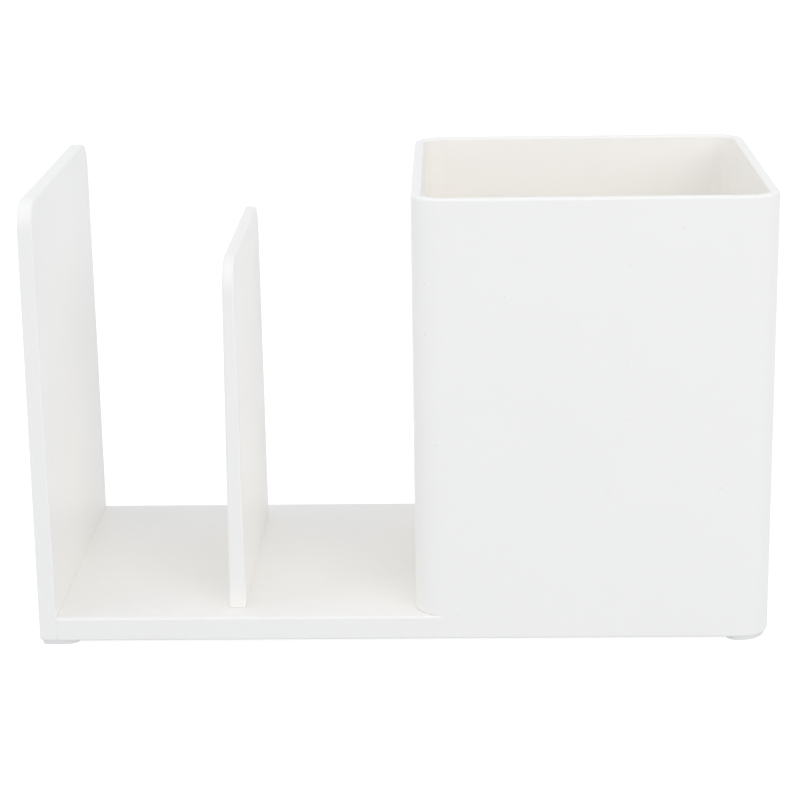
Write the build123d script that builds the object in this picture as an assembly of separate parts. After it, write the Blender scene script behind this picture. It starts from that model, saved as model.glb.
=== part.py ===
from build123d import *
from math import atan2, degrees
import os

# Pen holder: a low tray with a square pen cup over its right end, a tall side panel at its left end and
# a shorter divider between them. Every other piece plugs into the tray.
# Millimetres. +X runs to the right, -Y to the front and +Z up. The origin is under the middle of the
# object, on the surface that its feet stand on.

# Whole object
body_depth = 80.0
body_height = 101.0
bay_width = 81.5
edge_radius = 0.6
bottom_radius = 0.5
seam_gap = 0.15

# Tray
tray_height = 5.5
tray_plate = 2.2
tray_skirt = 2.2
rib_thickness = 1.4
rib_relief = 0.5
rib_pitch = 20.0

# Pen cup: walls thin out from the deck to the rim
cup_width = 80.0
cup_corner_radius = 7.0
cup_wall_base = 2.7
cup_wall_rim = 2.2

# Side panel: leans in on both faces, the inner one from the deck upwards
panel_thickness = 4.0
panel_heel_radius = 0.9
panel_outer_lean = 0.5
panel_inner_lean = 0.15
panel_corner_radius = 6.0

# Divider: centred in the bay
divider_height = 86.5
divider_thickness = 3.8
divider_left_lean = 1.0
divider_right_lean = 0.2
divider_end_lean = 0.3
divider_setback = 5.9
divider_corner_radius = 7.0

# Feet: soft pads with a stem that plugs into the tray
foot_height = 1.05
foot_inset = 0.5
foot_rim = 0.45
foot_corner_radius = 3.0
foot_square_radius = 0.8
foot_flat = 0.2
foot_draw_in = 0.2
foot_edge_radius = 0.3
foot_stem_radius = 1.5
foot_stem_length = 2.8
foot_boss_wall = 1.6

# Plug-in tabs of the side panel, with snap barbs
panel_tab_count = 3
panel_tab_width = 10.0
barb_height = 0.5
barb_length = 1.6

# Plug-in tabs of the divider
divider_tab_width = 14.0
divider_tab_spacing = 40.0
divider_tab_thickness = 2.4
socket_wall = 1.2

# Snap ridges of the tray that click into grooves in the cup
ridge_length = 16.0
ridge_height = 0.4
ridge_radius = 0.8

# Clearances
cup_slip_gap = 0.1
plug_gap = 0.05
tab_relief = 0.6

# Levels, from the ground up
underside = foot_height
deck = underside + tray_height
rim = underside + body_height
hollow_top = deck - tray_plate
hollow_height = tray_height - tray_plate

# Places along X, from left to right
overall_width = panel_thickness + bay_width + cup_width
left_face = -overall_width / 2
panel_face = left_face + panel_thickness
divider_middle = panel_face + bay_width / 2
cup_face = panel_face + bay_width
cup_middle = cup_face + cup_width / 2
butt_joint = cup_face + cup_corner_radius
tongue_inset = cup_wall_base + cup_slip_gap
tongue_end = cup_face + cup_width - tongue_inset
tongue_hollow = cup_face + tongue_inset + tray_skirt
cross_wall = tongue_hollow - tray_skirt

# Places along Y, on either side of the middle
half_depth = body_depth / 2
tongue_half_depth = half_depth - tongue_inset

# Feet: the stem clears the side panel and the cup wall, and a pad's outer corner follows the corner above it
stem_hole_radius = foot_stem_radius + plug_gap
boss_radius = stem_hole_radius + foot_boss_wall
stem_inset = max(panel_thickness, tongue_inset) + boss_radius
stem_x = overall_width / 2 - stem_inset
stem_y = half_depth - stem_inset
foot_round_radius = cup_corner_radius - foot_inset

# Panel tabs share the room between the bosses of the left feet
panel_tab_pitch = 2 * (stem_y - boss_radius) / panel_tab_count
panel_tab_places = [panel_tab_pitch * (i - (panel_tab_count - 1) / 2) for i in range(panel_tab_count)]
panel_tab_low = underside + tab_relief
panel_tab_high = hollow_top - tab_relief - barb_height
divider_tab_places = [-divider_tab_spacing / 2, divider_tab_spacing / 2]


def block(low, high):
    """Box between two opposite corners."""
    size = [b - a for a, b in zip(low, high)]
    middle = [(a + b) / 2 for a, b in zip(low, high)]
    return Pos(*middle) * Box(*size)


def grown(low, high, gap):
    """Box between two opposite corners, larger by a gap on every side."""
    return block([a - gap for a in low], [b + gap for b in high])


def even_places(start, end, pitch):
    """Places that divide a length evenly, about one pitch apart, without its ends."""
    spaces = max(1, round((end - start) / pitch))
    return [start + (end - start) * i / spaces for i in range(1, spaces)]


def cup_plan(inset, level):
    """Plan of the cup's outer face at a level, drawn in by an inset all round."""
    outline = RectangleRounded(cup_width - 2 * inset, body_depth - 2 * inset, cup_corner_radius - inset)
    return Pos(cup_middle, 0, level) * outline


def deck_slab():
    """Outer form of the tray from the seam at the side panel to the butt joint under the cup's corners."""
    slab = block((panel_face, -half_depth, underside), (butt_joint, half_depth, deck))
    slab = fillet(slab.faces().sort_by(Axis.Z)[-1].edges().filter_by(Axis.X), edge_radius)
    slab = fillet(slab.faces().sort_by(Axis.Z)[0].edges().filter_by(Axis.X), bottom_radius)
    return chamfer(slab.faces().sort_by(Axis.X)[0].edges(), seam_gap)


def cup_seam():
    """Shallow groove round the foot of the cup where it stands on the flat of the deck."""
    ring = extrude(cup_plan(0, deck) - cup_plan(seam_gap, deck), seam_gap)
    flat_half_depth = half_depth - edge_radius
    return ring & block((cup_face, -flat_half_depth, deck), (butt_joint, flat_half_depth, deck + seam_gap))


def snap_ridges(gap):
    """Half-round ridges on the front, back and end of the tray's tongue, grown by a gap."""
    level = underside + tray_height / 2
    reach = ridge_height - ridge_radius
    rod = Cylinder(ridge_radius + gap, ridge_length + 2 * gap)
    ridges = Pos(tongue_end + reach, 0, level) * Rot(X=90) * rod
    for end in (-1, 1):
        ridges += Pos(cup_middle, end * (tongue_half_depth + reach), level) * Rot(Y=90) * rod
    return ridges


def divider_tab_corners(place):
    """Opposite corners of one divider tab, which hangs below the deck."""
    low = (divider_middle - divider_tab_thickness / 2, place - divider_tab_width / 2, underside + tab_relief)
    high = (divider_middle + divider_tab_thickness / 2, place + divider_tab_width / 2, deck)
    return low, high


def panel_tab_corners(place):
    """Opposite corners of one panel tab, up to the inside of the tray's end wall."""
    low = (panel_face, place - panel_tab_width / 2, panel_tab_low)
    high = (panel_face + tray_skirt + plug_gap, place + panel_tab_width / 2, panel_tab_high)
    return low, high


def tray_ribs():
    """Grid of ribs, divider sockets and foot bosses under the tray's plate."""
    low = underside + rib_relief
    half_rib = rib_thickness / 2
    ribs = Part()
    for left, right in zip(panel_tab_places, panel_tab_places[1:]):
        middle = (left + right) / 2
        ribs += block((panel_face, middle - half_rib, low), (tongue_end, middle + half_rib, deck))
    bay_places = even_places(panel_face, divider_middle, rib_pitch) + [divider_middle]
    bay_places += even_places(divider_middle, cross_wall, rib_pitch)
    for x in bay_places:
        ribs += block((x - half_rib, -half_depth, low), (x + half_rib, half_depth, deck))
    for x in even_places(tongue_hollow, tongue_end, rib_pitch):
        ribs += block((x - half_rib, -tongue_half_depth, low), (x + half_rib, tongue_half_depth, deck))
    for place in divider_tab_places:
        tab_low, tab_high = divider_tab_corners(place)
        ribs += grown(tab_low, tab_high, plug_gap + socket_wall)
    for x in (-stem_x, stem_x):
        for y in (-stem_y, stem_y):
            ribs += Pos(x, y, (underside + deck) / 2) * Cylinder(boss_radius, tray_height)
    return ribs


def make_base_tray():
    """Tray: deck with front, back and end skirts, and a tongue that is the floor of the cup."""
    tongue = extrude(cup_plan(tongue_inset, underside), tray_height)
    solid = deck_slab() + tongue
    bay_hollow = block(
        (panel_face + tray_skirt, tray_skirt - half_depth, underside),
        (cross_wall, half_depth - tray_skirt, hollow_top),
    )
    cup_hollow = extrude(cup_plan(tongue_inset + tray_skirt, underside), hollow_height)
    tray = solid - bay_hollow - cup_hollow
    tray += tray_ribs() & solid
    tray += snap_ridges(0)
    for place in divider_tab_places:
        tab_low, tab_high = divider_tab_corners(place)
        tray -= grown(tab_low, tab_high, plug_gap)
    for place in panel_tab_places:
        tab_low, tab_high = panel_tab_corners(place)
        tray -= grown(tab_low, tab_high, plug_gap)
    hole_depth = foot_stem_length + plug_gap
    for x in (-stem_x, stem_x):
        for y in (-stem_y, stem_y):
            tray -= Pos(x, y, underside + hole_depth / 2) * Cylinder(stem_hole_radius, hole_depth)
    return tray


def make_pen_cup():
    """Cup: a rounded square sleeve, its left side standing on the deck and the rest round the tongue."""
    sleeve = extrude(cup_plan(0, underside), body_height)
    wall_lean = degrees(atan2(cup_wall_base - cup_wall_rim, rim - deck))
    sleeve -= extrude(cup_plan(cup_wall_base, deck), rim - deck, taper=-wall_lean)
    sleeve -= extrude(cup_plan(cup_wall_base, underside), tray_height)
    sleeve = fillet(sleeve.faces().sort_by(Axis.Z)[-1].edges(), edge_radius)
    sleeve = fillet(sleeve.faces().sort_by(Axis.Z)[0].outer_wire().edges(), bottom_radius)
    sleeve -= deck_slab()
    sleeve -= cup_seam()
    return sleeve - snap_ridges(plug_gap)


def upright(foot_faces, top_faces, half_foot, end_lean, top, corner_radius):
    """Upright plate on the deck that leans in on its faces and ends, with rounded corners and edges."""
    front_view = Polygon(
        (foot_faces[0], deck),
        (foot_faces[1], deck),
        (top_faces[1], top),
        (top_faces[0], top),
    )
    side_view = Polygon(
        (-half_foot, deck),
        (half_foot, deck),
        (half_foot - end_lean, top),
        (end_lean - half_foot, top),
    )
    side_view = fillet(side_view.vertices().sort_by(Axis.Y)[-2:], corner_radius)
    plate = extrude(Plane.XZ * front_view, half_depth, both=True)
    plate &= extrude(Plane.YZ * side_view, overall_width, both=True)
    faces = plate.faces().sort_by(Axis.X)
    outline = faces[0].edges() + faces[-1].edges()
    return fillet(outline.filter_by(lambda edge: edge.center().Z > deck + edge_radius), edge_radius)


def panel_tab(place):
    """Tab of the side panel that snaps behind the tray's end wall."""
    low, high = panel_tab_corners(place)
    tab = block(low, high)
    barb_view = Polygon(
        (high[0], low[2]),
        (high[0] + barb_length, low[2]),
        (high[0] + barb_length, high[2] - barb_height),
        (high[0], high[2] + barb_height),
    )
    barb = extrude(Plane.XZ * barb_view, panel_tab_width / 2, both=True)
    return tab + Pos(0, place, 0) * barb


def make_side_panel():
    """Side panel: its foot stands beside the tray's end wall and its tabs plug into it."""
    outer_face_at_deck = left_face + panel_outer_lean * tray_height / body_height
    foot_view = Polygon(
        (left_face, underside),
        (panel_face, underside),
        (panel_face, deck),
        (outer_face_at_deck, deck),
    )
    foot_view = fillet(foot_view.vertices().sort_by_distance((left_face, underside))[0], panel_heel_radius)
    foot = extrude(Plane.XZ * foot_view, half_depth, both=True)
    outline = foot.faces().filter_by(Axis.Y).edges()
    outline = outline.filter_by(lambda edge: edge.center().X < panel_face - edge_radius)
    outline = outline.filter_by(lambda edge: edge.center().Z < deck - edge_radius)
    foot = fillet(outline, edge_radius)
    panel = foot + upright(
        (outer_face_at_deck, panel_face),
        (left_face + panel_outer_lean, panel_face - panel_inner_lean),
        half_depth,
        0,
        rim,
        panel_corner_radius,
    )
    for place in panel_tab_places:
        panel += panel_tab(place)
    return panel


def make_divider():
    """Divider: a thin upright whose two tabs plug into sockets under the deck."""
    left = divider_middle - divider_thickness / 2
    right = divider_middle + divider_thickness / 2
    divider = upright(
        (left, right),
        (left + divider_left_lean, right - divider_right_lean),
        half_depth - divider_setback,
        divider_end_lean,
        underside + divider_height,
        divider_corner_radius,
    )
    divider = chamfer(divider.faces().sort_by(Axis.Z)[0].edges(), seam_gap)
    for place in divider_tab_places:
        divider += block(*divider_tab_corners(place))
    return divider


def make_foot(side, end):
    """Foot under one corner: side is -1 left or 1 right, end is -1 front or 1 rear."""
    outer_radius = foot_round_radius if side > 0 else foot_square_radius
    past_stem = stem_inset + foot_stem_radius + foot_rim - foot_inset
    size = max(past_stem, outer_radius + foot_flat + foot_corner_radius)
    corner = (side * (overall_width / 2 - foot_inset), end * (half_depth - foot_inset))
    middle = (corner[0] - side * size / 2, corner[1] - end * size / 2)
    plan = Pos(*middle) * Rectangle(size, size)
    plan = fillet(plan.vertices().sort_by_distance(corner)[:1], outer_radius)
    plan = fillet(plan.vertices().sort_by_distance(corner)[-3:], foot_corner_radius)
    sole = offset(plan, -foot_draw_in)
    pad = loft([sole, Pos(0, 0, underside) * plan])
    pad = fillet(pad.faces().sort_by(Axis.Z)[0].edges(), foot_edge_radius)
    stem = Cylinder(foot_stem_radius, foot_stem_length)
    return pad + Pos(side * stem_x, end * stem_y, underside + foot_stem_length / 2) * stem


pieces = {
    "base_tray": make_base_tray(),
    "pen_cup": make_pen_cup(),
    "side_panel": make_side_panel(),
    "divider": make_divider(),
    "foot_front_left": make_foot(-1, -1),
    "foot_front_right": make_foot(1, -1),
    "foot_rear_left": make_foot(-1, 1),
    "foot_rear_right": make_foot(1, 1),
}

os.makedirs("parts", exist_ok=True)
for name, piece in pieces.items():
    export_step(piece, f"parts/{name}.step")
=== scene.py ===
from contextlib import contextmanager
from math import copysign, radians

import bmesh
import bpy
from bpy.props import FloatProperty, FloatVectorProperty, IntProperty, PointerProperty
from mathutils import Matrix, Vector


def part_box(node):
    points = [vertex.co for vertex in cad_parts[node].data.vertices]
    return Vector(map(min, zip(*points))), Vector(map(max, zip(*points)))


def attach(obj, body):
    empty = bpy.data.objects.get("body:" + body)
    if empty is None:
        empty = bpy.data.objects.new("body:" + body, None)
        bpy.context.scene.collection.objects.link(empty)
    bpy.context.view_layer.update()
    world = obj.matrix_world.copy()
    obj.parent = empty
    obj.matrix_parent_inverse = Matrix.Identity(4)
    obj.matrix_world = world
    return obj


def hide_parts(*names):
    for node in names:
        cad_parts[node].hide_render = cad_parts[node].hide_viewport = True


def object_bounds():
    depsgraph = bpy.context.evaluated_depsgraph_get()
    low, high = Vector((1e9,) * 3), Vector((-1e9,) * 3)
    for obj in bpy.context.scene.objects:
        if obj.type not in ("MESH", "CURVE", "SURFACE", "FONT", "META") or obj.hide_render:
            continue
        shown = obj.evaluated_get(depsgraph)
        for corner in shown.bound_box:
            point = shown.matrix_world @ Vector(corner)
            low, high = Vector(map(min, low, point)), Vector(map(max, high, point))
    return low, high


bl_info = {
    "name": "Pen Holder",
    "version": (1, 0, 0),
    "blender": (4, 5, 0),
    "location": "View3D > Sidebar > Pen Holder",
    "description": "Finishes a white moulded pen holder and sets it in a plain bright studio",
    "category": "Object",
}

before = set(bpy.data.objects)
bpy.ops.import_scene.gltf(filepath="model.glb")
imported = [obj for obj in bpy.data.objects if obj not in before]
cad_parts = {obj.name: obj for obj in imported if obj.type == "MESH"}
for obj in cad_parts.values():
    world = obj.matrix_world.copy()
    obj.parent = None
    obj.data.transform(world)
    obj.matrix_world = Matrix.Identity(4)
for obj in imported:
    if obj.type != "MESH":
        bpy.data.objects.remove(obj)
cad_low, cad_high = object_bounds()
tray_low, tray_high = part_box("base_tray")
cup_low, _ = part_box("pen_cup")

BODY = "root"
MOULDINGS = ("base_tray", "pen_cup", "side_panel", "divider")

# Distances at which two places count as one, and at which two points of a mesh are merged
SAME_PLACE = 1e-5
SAME_POINT = 1e-6

# Facets of a foot: round its stem, and across its rounded corners and edge
STEM_SIDES = 32
OUTER_CORNER_STEPS = 10
INNER_CORNER_STEPS = 8
SOLE_EDGE_STEPS = 4

# Faces that meet at less than this angle are shaded as one curve
SMOOTH_ANGLE = radians(35)

# Upright part of a normal at which a face starts to count as flat, and at which it does in full
NEARLY_FLAT = 0.9
FLAT = 0.99

# Values of the noise at which a cloud starts, and at which it is full
CLOUD_START = 0.3
CLOUD_FULL = 0.7

# Share of a speck's radius that has its full strength, and the strength of the faintest specks
SPECK_CORE = 0.4
SPECK_FAINTEST = 0.4

# Scales of a pattern along X, Y and Z, of which a small one draws it out: rubs run from front to back
SPECK_SCALE = (0.5, 1, 0.8)
RUB_SCALE = (1, 0.03, 1)

# How strongly the plastic and the rubber bend light
PLASTIC_IOR = 1.5
RUBBER_IOR = 1.41

# Colour sockets of a Mix node, found by number because its other types use the same names
MIX_FIRST = 6
MIX_SECOND = 7
MIX_RESULT = 2

# Width of the camera's sensor in millimetres
SENSOR_WIDTH = 36


class HolderFeet(bpy.types.PropertyGroup):
    """Sizes of the soft feet"""

    height: FloatProperty(
        name="Height", description="Height of a pad, up to the underside of the mouldings",
        default=cup_low.z, unit="LENGTH",
    )
    corner: FloatProperty(
        name="Corner", description="Radius of a pad's inner corners",
        default=0.003, unit="LENGTH",
    )
    left_corner: FloatProperty(
        name="Left corner", description="Radius of a left pad's outer corner",
        default=0.0008, unit="LENGTH",
    )
    right_corner: FloatProperty(
        name="Right corner", description="Radius of a right pad's outer corner",
        default=0.0065, unit="LENGTH",
    )
    draw_in: FloatProperty(
        name="Draw-in", description="How much smaller a sole is all round",
        default=0.0002, unit="LENGTH",
    )
    sole_edge: FloatProperty(
        name="Sole edge", description="Radius round the edge of a sole",
        default=0.0003, unit="LENGTH",
    )
    stem_radius: FloatProperty(
        name="Stem", description="Radius of the stem that plugs into the tray",
        default=0.0015, unit="LENGTH",
    )
    stem_inset: FloatProperty(
        name="Stem inset", description="How far in a stem stands from the outer sides of its pad",
        default=0.00665, unit="LENGTH",
    )


class HolderFinish(bpy.types.PropertyGroup):
    """Colours and surface of the plastic and the rubber"""

    plastic: FloatVectorProperty(
        name="Plastic", description="Colour of the mouldings",
        default=(0.970, 0.9525, 0.921), subtype="COLOR", size=3, min=0, max=1,
    )
    plastic_shade: FloatVectorProperty(
        name="Plastic shade", description="Colour of the faint clouds in the plastic",
        default=(0.962, 0.9445, 0.912), subtype="COLOR", size=3, min=0, max=1,
    )
    plastic_roughness: FloatVectorProperty(
        name="Plastic roughness", description="Roughness of the plastic, outside its clouds and in them",
        default=(0.40, 0.47), size=2, min=0, max=1,
    )
    plastic_grain: FloatProperty(
        name="Plastic grain", description="Strength of the fine relief on the plastic",
        default=0.05, subtype="FACTOR", min=0, max=1,
    )
    speck: FloatVectorProperty(
        name="Speck", description="Colour of the tiny specks in the plastic",
        default=(0.84, 0.817, 0.78), subtype="COLOR", size=3, min=0, max=1,
    )
    dust: FloatVectorProperty(
        name="Dust", description="Colour of the thin dust on the faces that lie flat",
        default=(0.934, 0.917, 0.884), subtype="COLOR", size=3, min=0, max=1,
    )
    dust_cover: FloatProperty(
        name="Dust cover", description="How much of the plastic's colour the thin dust hides",
        default=0.5, subtype="FACTOR", min=0, max=1,
    )
    rub: FloatProperty(
        name="Rubs", description="Roughness that rubbing adds to the faces that lie flat",
        default=0.08, subtype="FACTOR", min=0, max=1,
    )
    # Painted shade: these three settings give the colour, height and reach of a darker line painted along
    # the feet of the cup and the divider on the deck, standing in for the shade in those joints
    joint: FloatVectorProperty(
        name="Joint", description="Colour of the dust in the joint lines on the deck",
        default=(0.855, 0.853, 0.845), subtype="COLOR", size=3, min=0, max=1,
    )
    joint_shade_height: FloatProperty(
        name="Joint line", description="Height of the dust in the joint lines on the deck",
        default=0.00035, unit="LENGTH",
    )
    joint_shade_reach: FloatProperty(
        name="Joint reach", description="How far the joint lines follow the cup's rounded corners",
        default=0.005, unit="LENGTH",
    )
    rubber: FloatVectorProperty(
        name="Rubber", description="Colour of the feet",
        default=(0.93, 0.915, 0.895), subtype="COLOR", size=3, min=0, max=1,
    )
    rubber_shade: FloatVectorProperty(
        name="Rubber shade", description="Colour of the faint clouds in the rubber",
        default=(0.90, 0.885, 0.865), subtype="COLOR", size=3, min=0, max=1,
    )
    rubber_roughness: FloatVectorProperty(
        name="Rubber roughness", description="Roughness of the rubber, outside its clouds and in them",
        default=(0.55, 0.65), size=2, min=0, max=1,
    )
    rubber_grain: FloatProperty(
        name="Rubber grain", description="Strength of the fine relief on the rubber",
        default=0.2, subtype="FACTOR", min=0, max=1,
    )
    grain_depth: FloatProperty(
        name="Grain depth", description="Depth of the fine relief at full strength",
        default=0.0001, unit="LENGTH",
    )


class HolderStudio(bpy.types.PropertyGroup):
    """Floor, light and camera"""

    floor_size: FloatProperty(
        name="Floor", description="Length of the floor's sides",
        default=8.0, unit="LENGTH",
    )
    floor_drop: FloatProperty(
        name="Floor drop", description="How far the floor lies below the soles",
        default=0.00005, unit="LENGTH",
    )
    floor_glow: FloatProperty(
        name="Floor glow", description="Light that the floor shows by itself, also in the shadow",
        default=0.74, subtype="FACTOR", min=0, max=1,
    )
    floor_shade: FloatProperty(
        name="Floor shade", description="Grey that shows the light and the shadow on the floor",
        default=0.45, subtype="FACTOR", min=0, max=1,
    )
    floor_bounce: FloatProperty(
        name="Floor bounce", description="Grey that throws light back at the object",
        default=0.6, subtype="FACTOR", min=0, max=1,
    )
    floor_clear: FloatProperty(
        name="Floor clear", description="Share of the light that passes through the floor",
        default=0.5, subtype="FACTOR", min=0, max=1,
    )
    sky: FloatVectorProperty(
        name="Sky", description="Colour and strength of the light from all round",
        default=(0.695, 0.73, 0.787), subtype="COLOR", size=3, min=0, max=1,
    )
    lamp_tint: FloatVectorProperty(
        name="Lamps", description="Colour of the soft lamps",
        default=(1.0, 0.955, 0.89), subtype="COLOR", size=3, min=0, max=1,
    )
    key_power: FloatProperty(
        name="Key", description="Power of the near lamp at the front right",
        default=1.7, unit="POWER",
    )
    front_power: FloatProperty(
        name="Front", description="Power of the large lamp above the front",
        default=1.95, unit="POWER",
    )
    top_power: FloatProperty(
        name="Top", description="Power of the large lamp above the left",
        default=2.35, unit="POWER",
    )
    side_power: FloatProperty(
        name="Side", description="Power of the low lamp at the left",
        default=1.9, unit="POWER",
    )
    fill_power: FloatProperty(
        name="Fill", description="Power of the low lamp at the right",
        default=0.4, unit="POWER",
    )
    white_bounces: IntProperty(
        name="White bounces", description="How often light is followed from one white face to another",
        default=16,
    )
    all_bounces: IntProperty(
        name="All bounces", description="How often light is followed from one face to another in all",
        default=20,
    )
    camera_place: FloatVectorProperty(
        name="Camera", description="Where the camera stands",
        default=(0.0125, -0.5278, 0.19825), subtype="TRANSLATION", unit="LENGTH", size=3,
    )
    camera_pitch: FloatProperty(
        name="Pitch", description="How far the camera looks down",
        default=radians(16.1), subtype="ANGLE",
    )
    camera_heading: FloatProperty(
        name="Heading", description="How far the camera turns to the left",
        default=radians(1.47), subtype="ANGLE",
    )
    camera_roll: FloatProperty(
        name="Roll", description="How far the camera tilts to its right",
        default=radians(0.9), subtype="ANGLE",
    )
    camera_lens: FloatProperty(
        name="Lens", description="Focal length in millimetres",
        default=104.07, unit="CAMERA",
    )


def feet():
    return bpy.context.scene.holder_feet


def finish():
    return bpy.context.scene.holder_finish


def studio():
    return bpy.context.scene.holder_studio


def pick(piece):
    """Makes one object the only selected one, and the active one."""
    bpy.ops.object.select_all(action="DESELECT")
    piece.select_set(True)
    bpy.context.view_layer.objects.active = piece


@contextmanager
def editing(piece, kind):
    """Edit mode on one object, selecting by VERT, EDGE or FACE."""
    pick(piece)
    bpy.ops.object.mode_set(mode="EDIT")
    bpy.ops.mesh.select_mode(type=kind)
    yield bmesh.from_edit_mesh(piece.data)
    bpy.ops.object.mode_set(mode="OBJECT")


def choose(piece, elements, wanted):
    """Selects the elements of a mesh in edit mode that pass a test, and no others."""
    bpy.ops.mesh.select_all(action="DESELECT")
    for element in elements:
        if wanted(element):
            element.select_set(True)
    bmesh.update_edit_mesh(piece.data)


def start_block(name, low, high):
    """Block between two corners, with its place in its mesh."""
    bpy.ops.object.select_all(action="DESELECT")
    bpy.ops.mesh.primitive_cube_add(size=1, location=(low + high) / 2, scale=high - low)
    bpy.ops.object.transform_apply(location=True, rotation=True, scale=True)
    block = bpy.context.active_object
    block.name = name
    return block


def start_rod(low_end, high_end, radius):
    """Upright rod between two points, with its place in its mesh."""
    length = high_end.z - low_end.z
    middle = (low_end + high_end) / 2
    bpy.ops.object.select_all(action="DESELECT")
    bpy.ops.mesh.primitive_cylinder_add(vertices=STEM_SIDES, radius=radius, depth=length, location=middle)
    bpy.ops.object.transform_apply(location=True, rotation=True, scale=True)
    return bpy.context.active_object


def round_edges(piece, radius, steps, wanted):
    """Rounds the edges of a piece that pass a test."""
    with editing(piece, "EDGE") as mesh:
        choose(piece, mesh.edges, wanted)
        bpy.ops.mesh.bevel(offset=radius, segments=steps, affect="EDGES")


def merge_points():
    """Merges the points of the mesh in edit mode that lie in one place, and leaves all selected."""
    bpy.ops.mesh.select_all(action="SELECT")
    bpy.ops.mesh.remove_doubles(threshold=SAME_POINT)


def weld(piece, other):
    """Joins another closed mesh to a piece, and removes what it was."""
    pick(piece)
    modifier = piece.modifiers.new("weld", "BOOLEAN")
    modifier.operation = "UNION"
    modifier.solver = "EXACT"
    modifier.object = other
    bpy.ops.object.modifier_apply(modifier=modifier.name)
    bpy.data.objects.remove(other)
    with editing(piece, "VERT"):
        merge_points()


def mirrored(piece, name):
    """Copy of a piece with its own mesh, mirrored from front to rear."""
    pick(piece)
    bpy.ops.object.duplicate(linked=False)
    copy = bpy.context.active_object
    copy.name = name
    with editing(copy, "VERT"):
        bpy.ops.mesh.select_all(action="SELECT")
        bpy.ops.transform.resize(value=(1, -1, 1), center_override=(0, 0, 0))
        merge_points()
        bpy.ops.mesh.normals_make_consistent(inside=False)
    return copy


def soften(piece):
    """Smooth shading over rounded edges, with flat faces kept flat."""
    pick(piece)
    bpy.ops.object.shade_smooth_by_angle(angle=SMOOTH_ANGLE)
    modifier = piece.modifiers.new("weights", "WEIGHTED_NORMAL")
    modifier.keep_sharp = True
    bpy.ops.object.modifier_apply(modifier=modifier.name)


def add_node(tree, kind, **settings):
    """New node, with its attributes or unlinked inputs set."""
    node = tree.nodes.new(kind)
    for name, value in settings.items():
        if hasattr(node, name):
            setattr(node, name, value)
        else:
            node.inputs[name.replace("_", " ").title()].default_value = value
    return node


def feed(tree, socket, value):
    """Links an output to a socket, or sets a constant on it."""
    if isinstance(value, bpy.types.NodeSocket):
        tree.links.new(value, socket)
    else:
        socket.default_value = value


def combine(tree, operation, first, second=0):
    """Result of a Math node on one or two outputs or numbers."""
    node = add_node(tree, "ShaderNodeMath", operation=operation)
    feed(tree, node.inputs[0], first)
    feed(tree, node.inputs[1], second)
    return node.outputs["Value"]


def product(tree, first, *others):
    """Product of several outputs and numbers."""
    result = first
    for other in others:
        result = combine(tree, "MULTIPLY", result, other)
    return result


def spread(tree, value, low, high, to_low=0.0, to_high=1.0):
    """Value stretched from one range to another and held inside it."""
    node = add_node(tree, "ShaderNodeMapRange", from_min=low, from_max=high, to_min=to_low, to_max=to_high)
    feed(tree, node.inputs["Value"], value)
    return node.outputs["Result"]


def blend(tree, mask, first, second):
    """Colour that runs from one to another along a mask."""
    mix = add_node(tree, "ShaderNodeMix", data_type="RGBA")
    feed(tree, mix.inputs["Factor"], mask)
    feed(tree, mix.inputs[MIX_FIRST], first)
    feed(tree, mix.inputs[MIX_SECOND], second)
    return mix.outputs[MIX_RESULT]


def axes(tree, vector):
    """Outputs with the X, Y and Z of a vector."""
    parts = tree.nodes.new("ShaderNodeSeparateXYZ")
    tree.links.new(vector, parts.inputs["Vector"])
    return parts.outputs


def scaled(tree, vector, scale):
    """Coordinates with each axis scaled, for patterns that are longer one way."""
    mapping = tree.nodes.new("ShaderNodeMapping")
    mapping.inputs["Scale"].default_value = scale
    tree.links.new(vector, mapping.inputs["Vector"])
    return mapping.outputs["Vector"]


def opaque(colour):
    """Colour of a setting, as a node's socket takes it."""
    return (*colour, 1)


def grey(level):
    """Grey of a level, as a node's socket takes it."""
    return (level, level, level, 1)


def new_group(name, **numbers):
    """Shader node group that turns a Vector and named numbers into a Mask."""
    group = bpy.data.node_groups.new(name, "ShaderNodeTree")
    group.interface.new_socket("Vector", in_out="INPUT", socket_type="NodeSocketVector")
    for socket, value in numbers.items():
        made = group.interface.new_socket(socket, in_out="INPUT", socket_type="NodeSocketFloat")
        made.default_value = value
    group.interface.new_socket("Mask", in_out="OUTPUT", socket_type="NodeSocketFloat")
    return group, group.nodes.new("NodeGroupInput"), group.nodes.new("NodeGroupOutput")


def build_clouds():
    """Soft patches: Scale is how many lie side by side in a metre."""
    group, given, made = new_group("Soft clouds", Scale=40.0)
    noise = add_node(group, "ShaderNodeTexNoise", detail=3.0, roughness=0.55)
    group.links.new(given.outputs["Vector"], noise.inputs["Vector"])
    group.links.new(given.outputs["Scale"], noise.inputs["Scale"])
    group.links.new(spread(group, noise.outputs["Fac"], CLOUD_START, CLOUD_FULL), made.inputs["Mask"])
    return group


def build_specks():
    """Tiny soft-edged specks of uneven strength, in some of the cells of a pattern.

    Scale is how many cells lie side by side in a metre, Size is a speck's radius beside its cell, and Share
    is the part of the cells that holds one.
    """
    group, given, made = new_group("Specks", Scale=160.0, Size=0.05, Share=0.4)
    cells = add_node(group, "ShaderNodeTexVoronoi", feature="F1")
    group.links.new(given.outputs["Vector"], cells.inputs["Vector"])
    group.links.new(given.outputs["Scale"], cells.inputs["Scale"])
    chance = group.nodes.new("ShaderNodeSeparateColor")
    group.links.new(cells.outputs["Color"], chance.inputs["Color"])
    picked = combine(group, "LESS_THAN", chance.outputs["Red"], given.outputs["Share"])
    strength = spread(group, chance.outputs["Green"], 0, 1, SPECK_FAINTEST, 1)
    reach = combine(group, "DIVIDE", cells.outputs["Distance"], given.outputs["Size"])
    spot = spread(group, reach, 1, SPECK_CORE)
    group.links.new(product(group, spot, picked, strength), made.inputs["Mask"])
    return group


GROUP_BUILDERS = {"Soft clouds": build_clouds, "Specks": build_specks}


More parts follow.
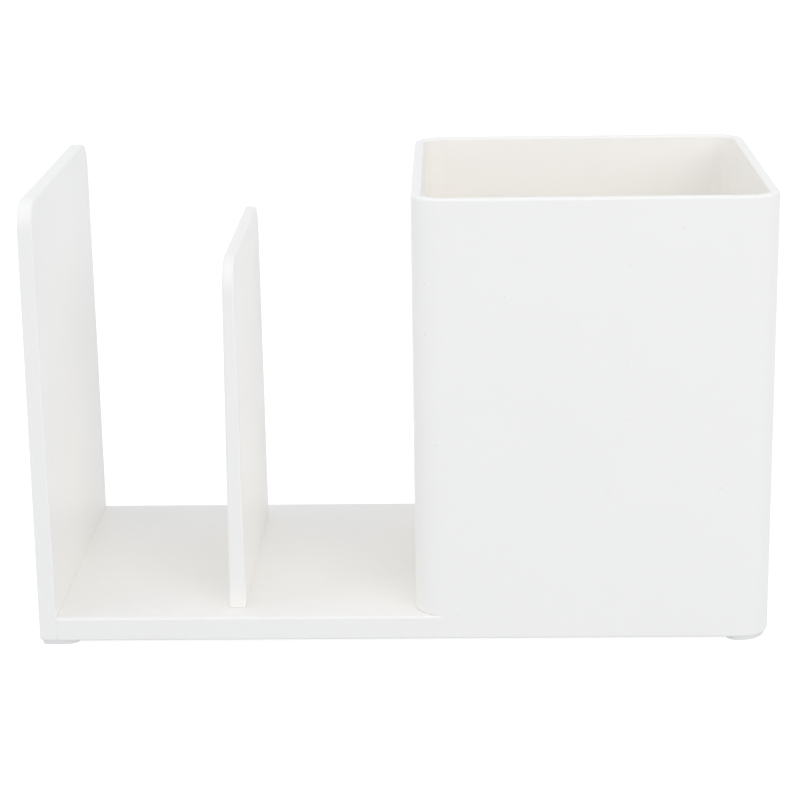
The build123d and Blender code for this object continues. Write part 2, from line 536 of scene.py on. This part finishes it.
def surface_mask(tree, name, vector, **values):
    """Mask from a shared node group, which is built when it is first asked for."""
    node = tree.nodes.new("ShaderNodeGroup")
    node.node_tree = bpy.data.node_groups.get(name) or GROUP_BUILDERS[name]()
    tree.links.new(vector, node.inputs["Vector"])
    for socket, value in values.items():
        node.inputs[socket].default_value = value
    return node.outputs["Mask"]


def new_material(name):
    """Material with a Principled shader, and the coordinates that its patterns follow."""
    material = bpy.data.materials.new(name)
    material.use_nodes = True
    tree = material.node_tree
    place = tree.nodes.new("ShaderNodeTexCoord").outputs["Object"]
    return material, tree, tree.nodes["Principled BSDF"], place


def add_grain(tree, shader, height, strength):
    """Fine relief on a surface."""
    bump = add_node(tree, "ShaderNodeBump", strength=strength, distance=finish().grain_depth)
    tree.links.new(height, bump.inputs["Height"])
    tree.links.new(bump.outputs["Normal"], shader.inputs["Normal"])


def flat_tops(tree):
    """Mask of the faces that lie flat and face up, where dust settles and things slide."""
    normal = tree.nodes.new("ShaderNodeNewGeometry").outputs["Normal"]
    return spread(tree, axes(tree, normal)["Z"], NEARLY_FLAT, FLAT)


def joint_shade_lines(tree, place):
    """Mask of the thin lines where the cup and the divider stand on the deck, where shade is painted in as
    a darker colour.
    """
    line = finish().joint_shade_height
    x, y, z = axes(tree, place)
    off_deck = combine(tree, "ABSOLUTE", combine(tree, "SUBTRACT", z, tray_high.z))
    at_deck = spread(tree, off_deck, line, line / 2)
    off_edges = combine(tree, "LESS_THAN", combine(tree, "ABSOLUTE", y), tray_high.y - line)
    past_panel = combine(tree, "GREATER_THAN", x, tray_low.x + line)
    up_to_cup = combine(tree, "LESS_THAN", x, cup_low.x + finish().joint_shade_reach)
    return product(tree, at_deck, off_edges, past_panel, up_to_cup)


def plastic_colour(tree, place, clouds, tops):
    """White with faint clouds, thin dust on the flat tops, tiny specks, and painted shade in the joint
    lines.
    """
    patches = surface_mask(tree, "Soft clouds", place, Scale=320.0)
    across = scaled(tree, place, SPECK_SCALE)
    specks = surface_mask(tree, "Specks", across, Scale=370.0, Size=0.08, Share=0.5)
    dust = product(tree, tops, patches, finish().dust_cover)
    uprights = combine(tree, "SUBTRACT", 1, tops)
    # Painted shade: the upright faces at the deck, along the joint lines, get a darker colour
    joint_shade = product(tree, joint_shade_lines(tree, place), uprights)
    colour = blend(tree, clouds, opaque(finish().plastic), opaque(finish().plastic_shade))
    colour = blend(tree, dust, colour, opaque(finish().dust))
    colour = blend(tree, specks, colour, opaque(finish().speck))
    return blend(tree, joint_shade, colour, opaque(finish().joint))


def plastic_gloss(tree, place, clouds, tops):
    """Roughness that follows the clouds, and is higher where things have rubbed the flat tops."""
    rubs = surface_mask(tree, "Soft clouds", scaled(tree, place, RUB_SCALE), Scale=900.0)
    sheen = spread(tree, clouds, 0, 1, *finish().plastic_roughness)
    return combine(tree, "ADD", sheen, product(tree, tops, rubs, finish().rub))


def plastic_material():
    """White moulded plastic, half glossy, with a fine grain."""
    material, tree, shader, place = new_material("white_abs_moulded")
    clouds = surface_mask(tree, "Soft clouds", place, Scale=45.0)
    grain = surface_mask(tree, "Soft clouds", place, Scale=2200.0)
    tops = flat_tops(tree)
    tree.links.new(plastic_colour(tree, place, clouds, tops), shader.inputs["Base Color"])
    tree.links.new(plastic_gloss(tree, place, clouds, tops), shader.inputs["Roughness"])
    add_grain(tree, shader, grain, finish().plastic_grain)
    shader.inputs["IOR"].default_value = PLASTIC_IOR
    return material


def rubber_material():
    """Pale silicone rubber, matt and slightly cloudy."""
    material, tree, shader, place = new_material("pale_silicone")
    clouds = surface_mask(tree, "Soft clouds", place, Scale=600.0)
    grain = surface_mask(tree, "Soft clouds", place, Scale=5000.0)
    colour = blend(tree, clouds, opaque(finish().rubber), opaque(finish().rubber_shade))
    tree.links.new(colour, shader.inputs["Base Color"])
    tree.links.new(spread(tree, clouds, 0, 1, *finish().rubber_roughness), shader.inputs["Roughness"])
    add_grain(tree, shader, grain, finish().rubber_grain)
    shader.inputs["IOR"].default_value = RUBBER_IOR
    return material


class PEN_HOLDER_OT_mouldings(bpy.types.Operator):
    """Give the tray, cup, side panel and divider their white plastic finish"""

    bl_idname = "pen_holder.mouldings"
    bl_label = "Finish Mouldings"

    def execute(self, context):
        material = plastic_material()
        for name in MOULDINGS:
            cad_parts[name].material_slots[0].material = material
        return {"FINISHED"}


def stands_at(edge, places):
    """True for an upright edge at one of some places in the plan."""
    return any(
        all((vertex.co.xy - place).length < SAME_PLACE for vertex in edge.verts) for place in places
    )


def lies_at(edge, level):
    """True for an edge at the lowest level of a piece."""
    return all(vertex.co.z < level + SAME_PLACE for vertex in edge.verts)


def plan_corners(low, high):
    """Corners of a foot's plan, with the one that is farthest from the middle of the object first."""
    corners = [Vector((x, y)) for x in (low.x, high.x) for y in (low.y, high.y)]
    return sorted(corners, key=lambda corner: corner.length, reverse=True)


def draw_in_sole(foot, low, high):
    """Makes the underside of a pad smaller all round, so that its sides lean in."""
    middle = (low + high) / 2
    plan = high - low
    shrink = Vector((1 - 2 * feet().draw_in / plan.x, 1 - 2 * feet().draw_in / plan.y, 1))
    with editing(foot, "FACE") as mesh:
        choose(foot, mesh.faces, lambda face: face.normal.z < -NEARLY_FLAT)
        bpy.ops.transform.resize(value=shrink, center_override=(middle.x, middle.y, low.z))


def model_foot(node, outer_radius):
    """Soft pad whose outer corner follows the object's corner, drawn in to its sole, with a stem on top."""
    low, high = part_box(node)
    pad_high = Vector((high.x, high.y, low.z + feet().height))
    outer, *inner = plan_corners(low, high)
    foot = start_block(node + "_pad", low, pad_high)
    round_edges(foot, outer_radius, OUTER_CORNER_STEPS, lambda edge: stands_at(edge, [outer]))
    round_edges(foot, feet().corner, INNER_CORNER_STEPS, lambda edge: stands_at(edge, inner))
    draw_in_sole(foot, low, high)
    round_edges(foot, feet().sole_edge, SOLE_EDGE_STEPS, lambda edge: lies_at(edge, low.z))
    stem_place = [side - copysign(feet().stem_inset, side) for side in outer]
    stem_low = Vector((*stem_place, pad_high.z - feet().height / 2))
    stem_high = Vector((*stem_place, high.z))
    weld(foot, start_rod(stem_low, stem_high, feet().stem_radius))
    return foot


class PEN_HOLDER_OT_feet(bpy.types.Operator):
    """Model one soft front foot for each side, and mirror it to the rear"""

    bl_idname = "pen_holder.feet"
    bl_label = "Model Feet"

    def execute(self, context):
        material = rubber_material()
        outer_radius = {"left": feet().left_corner, "right": feet().right_corner}
        for side, radius in outer_radius.items():
            front_node, rear_node = f"foot_front_{side}", f"foot_rear_{side}"
            front = model_foot(front_node, radius)
            rear = mirrored(front, rear_node + "_pad")
            for foot, node in ((front, front_node), (rear, rear_node)):
                soften(foot)
                foot.data.materials.append(material)
                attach(foot, BODY)
                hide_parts(node)
        return {"FINISHED"}


def is_seen(tree):
    """1 where the eye, a mirror or glass looks straight at the backdrop, else 0."""
    path = tree.nodes.new("ShaderNodeLightPath").outputs
    seen = combine(tree, "MAXIMUM", path["Is Camera Ray"], path["Is Glossy Ray"])
    return combine(tree, "MAXIMUM", seen, path["Is Transmission Ray"])


def mix_shaders(tree, share, first, second):
    """Shader that runs from one to another by an output or a number."""
    mix = tree.nodes.new("ShaderNodeMixShader")
    feed(tree, mix.inputs["Fac"], share)
    tree.links.new(first, mix.inputs[1])
    tree.links.new(second, mix.inputs[2])
    return mix.outputs["Shader"]


def add_shaders(tree, first, second):
    """Shader that shows the light of two others together."""
    both = tree.nodes.new("ShaderNodeAddShader")
    tree.links.new(first, both.inputs[0])
    tree.links.new(second, both.inputs[1])
    return both.outputs["Shader"]


def floor_material():
    """White light table that keeps a soft shadow, lets light through and is clear from below."""
    material = bpy.data.materials.new("white_floor")
    material.use_nodes = True
    tree = material.node_tree
    tree.nodes.remove(tree.nodes["Principled BSDF"])
    bounce = add_node(tree, "ShaderNodeBsdfDiffuse", Color=grey(studio().floor_bounce)).outputs["BSDF"]
    shade = add_node(tree, "ShaderNodeBsdfDiffuse", Color=grey(studio().floor_shade)).outputs["BSDF"]
    glow = add_node(tree, "ShaderNodeEmission", strength=studio().floor_glow).outputs["Emission"]
    clear = tree.nodes.new("ShaderNodeBsdfTransparent").outputs["BSDF"]
    below = tree.nodes.new("ShaderNodeNewGeometry").outputs["Backfacing"]
    lights = mix_shaders(tree, studio().floor_clear, bounce, clear)
    above = mix_shaders(tree, is_seen(tree), lights, add_shaders(tree, shade, glow))
    surface = mix_shaders(tree, below, above, clear)
    tree.links.new(surface, tree.nodes["Material Output"].inputs["Surface"])
    return material


def make_world():
    """White all round to the eye, and an even soft light on the object."""
    world = bpy.data.worlds.new("bright_studio")
    world.use_nodes = True
    tree = world.node_tree
    light = tree.nodes["Background"]
    light.inputs["Color"].default_value = opaque(studio().sky)
    white = add_node(tree, "ShaderNodeBackground", Color=grey(1))
    both = mix_shaders(tree, is_seen(tree), light.outputs["Background"], white.outputs["Background"])
    tree.links.new(both, tree.nodes["World Output"].inputs["Surface"])
    bpy.context.scene.world = world


def add_lamp(name, place, size, power):
    """Square lamp that faces the object and stays out of the picture."""
    lamp = bpy.data.lights.new(name, "AREA")
    lamp.size = size
    lamp.energy = power
    lamp.color = studio().lamp_tint
    holder = bpy.data.objects.new(name, lamp)
    holder.location = place
    aim = (cad_low + cad_high) / 2 - Vector(place)
    holder.rotation_euler = aim.to_track_quat("-Z", "Y").to_euler()
    holder.visible_camera = False
    bpy.context.scene.collection.objects.link(holder)


def add_camera():
    """Camera at the photograph's viewing angle."""
    camera = bpy.data.cameras.new("camera")
    camera.lens = studio().camera_lens
    camera.sensor_width = SENSOR_WIDTH
    holder = bpy.data.objects.new("camera", camera)
    heading = Matrix.Rotation(studio().camera_heading, 3, "Z")
    pitch = Matrix.Rotation(radians(90) - studio().camera_pitch, 3, "X")
    roll = Matrix.Rotation(-studio().camera_roll, 3, "Z")
    holder.location = studio().camera_place
    holder.rotation_euler = (heading @ pitch @ roll).to_euler()
    bpy.context.scene.collection.objects.link(holder)
    bpy.context.scene.camera = holder


class PEN_HOLDER_OT_stage(bpy.types.Operator):
    """Set the floor, the light and the camera"""

    bl_idname = "pen_holder.stage"
    bl_label = "Set Stage"

    def execute(self, context):
        bpy.ops.object.select_all(action="DESELECT")
        bpy.ops.mesh.primitive_plane_add(size=studio().floor_size, location=(0, 0, -studio().floor_drop))
        floor = context.active_object
        floor.name = "floor"
        floor.data.materials.append(floor_material())
        make_world()
        add_lamp("key_lamp", place=(0.5, -0.75, 0.45), size=0.5, power=studio().key_power)
        add_lamp("front_lamp", place=(0, -1.2, 1.2), size=1.2, power=studio().front_power)
        add_lamp("top_lamp", place=(-0.9, 0, 1.35), size=1.2, power=studio().top_power)
        add_lamp("side_lamp", place=(-1.3, -0.4, 0.5), size=0.9, power=studio().side_power)
        add_lamp("fill_lamp", place=(1.3, -0.4, 0.5), size=0.9, power=studio().fill_power)
        add_camera()
        context.scene.view_settings.view_transform = "Standard"
        context.scene.cycles.diffuse_bounces = studio().white_bounces
        context.scene.cycles.max_bounces = studio().all_bounces
        return {"FINISHED"}


class VIEW3D_PT_pen_holder(bpy.types.Panel):
    """Lists the steps that finish the pen holder"""

    bl_label = "Pen Holder"
    bl_space_type = "VIEW_3D"
    bl_region_type = "UI"
    bl_category = "Pen Holder"

    def draw(self, context):
        for step in STEPS:
            self.layout.operator(step.bl_idname)


SETTINGS = {"holder_feet": HolderFeet, "holder_finish": HolderFinish, "holder_studio": HolderStudio}
STEPS = (PEN_HOLDER_OT_mouldings, PEN_HOLDER_OT_feet, PEN_HOLDER_OT_stage)


def register():
    for name, group in SETTINGS.items():
        bpy.utils.register_class(group)
        setattr(bpy.types.Scene, name, PointerProperty(type=group))
    for step in (*STEPS, VIEW3D_PT_pen_holder):
        bpy.utils.register_class(step)


def unregister():
    for step in (VIEW3D_PT_pen_holder, *reversed(STEPS)):
        bpy.utils.unregister_class(step)
    for name, group in reversed(SETTINGS.items()):
        delattr(bpy.types.Scene, name)
        bpy.utils.unregister_class(group)


def main():
    register()
    bpy.ops.pen_holder.mouldings()
    bpy.ops.pen_holder.feet()
    bpy.ops.pen_holder.stage()
    bpy.context.view_layer.update()


if __name__ == "__main__":
    main()
